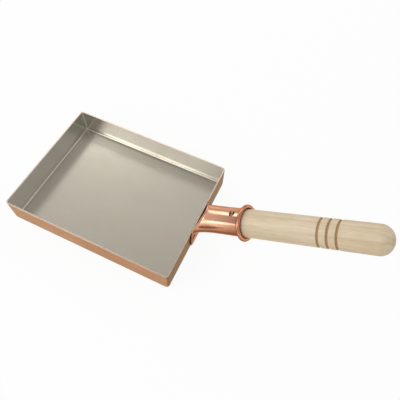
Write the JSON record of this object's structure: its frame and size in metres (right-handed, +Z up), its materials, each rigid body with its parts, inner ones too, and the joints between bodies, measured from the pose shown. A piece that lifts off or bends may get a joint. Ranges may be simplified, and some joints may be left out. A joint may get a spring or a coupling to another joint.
{
  "type": "tamagoyaki pan",
  "caption": "Rectangular copper omelette pan, tinned inside, with a riveted flared copper socket that holds a raised turned wooden handle.",
  "frame": {"origin": "centre of the pan's base, on the surface it rests on", "axes": "+X towards the handle, +Y across the pan, +Z up"},
  "size_m": [0.3326, 0.135, 0.129],
  "materials": {
    "copper_sheet": "satin, lightly brushed copper sheet",
    "tin": "hand-wiped tin, satin with faint wipe marks",
    "polished_copper": "polished copper",
    "rivet_copper": "hammered copper",
    "screw_metal": "bright metal",
    "pale_wood": "bare sanded pale wood"
  },
  "bodies": {
    "root": {"pan_body": "copper_sheet", "tin_lining": "tin", "handle_socket": "polished_copper", "flange_rivets": "rivet_copper", "handle_screw": "screw_metal", "wooden_handle": "pale_wood"}
  },
  "joints": []
}
